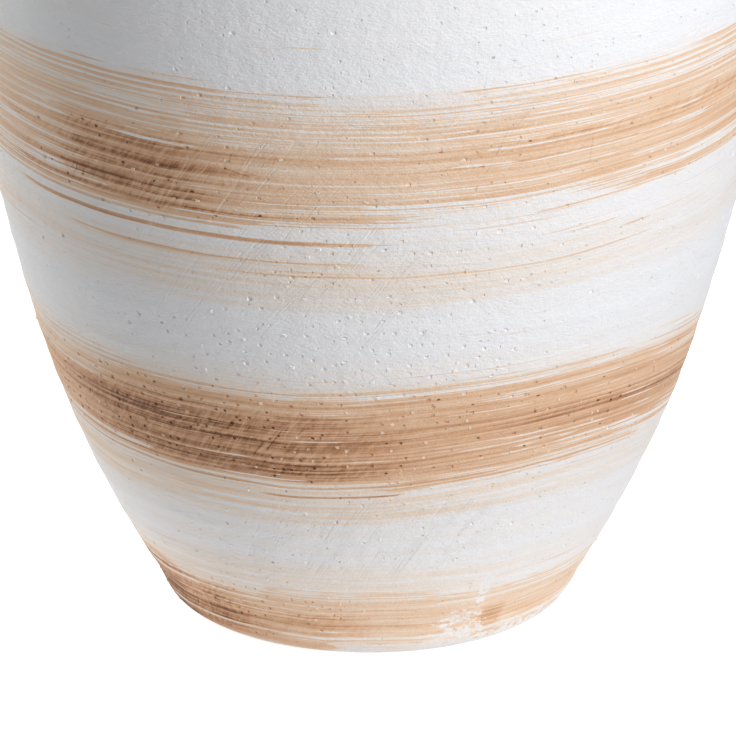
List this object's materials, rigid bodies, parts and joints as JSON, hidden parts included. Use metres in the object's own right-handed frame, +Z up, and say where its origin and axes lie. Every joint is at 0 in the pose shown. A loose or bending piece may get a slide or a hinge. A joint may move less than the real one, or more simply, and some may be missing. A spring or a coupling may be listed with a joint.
{
  "type": "water jar",
  "caption": "Tall footed clay water jar with a swelling belly, waisted neck, flaring lip, loop handles for lifting and a strap handle for pouring.",
  "frame": {"origin": "centre of the foot's resting ring, on the surface that the jar stands on", "axes": "+Z up the jar's axis, +X towards the right lifting handle, +Y towards the pouring handle at the back"},
  "size_m": [0.4158, 0.31, 0.48],
  "materials": {
    "body_slip": "matt white slip with brushed brown bands",
    "handle_slip": "matt white slip with brushed brown strokes"
  },
  "bodies": {
    "root": {"foot": "body_slip", "lower_body": "body_slip", "belly": "body_slip", "shoulder": "body_slip", "neck": "body_slip", "rim": "body_slip", "left_handle": "handle_slip", "right_handle": "handle_slip", "pouring_handle": "handle_slip"}
  },
  "joints": []
}
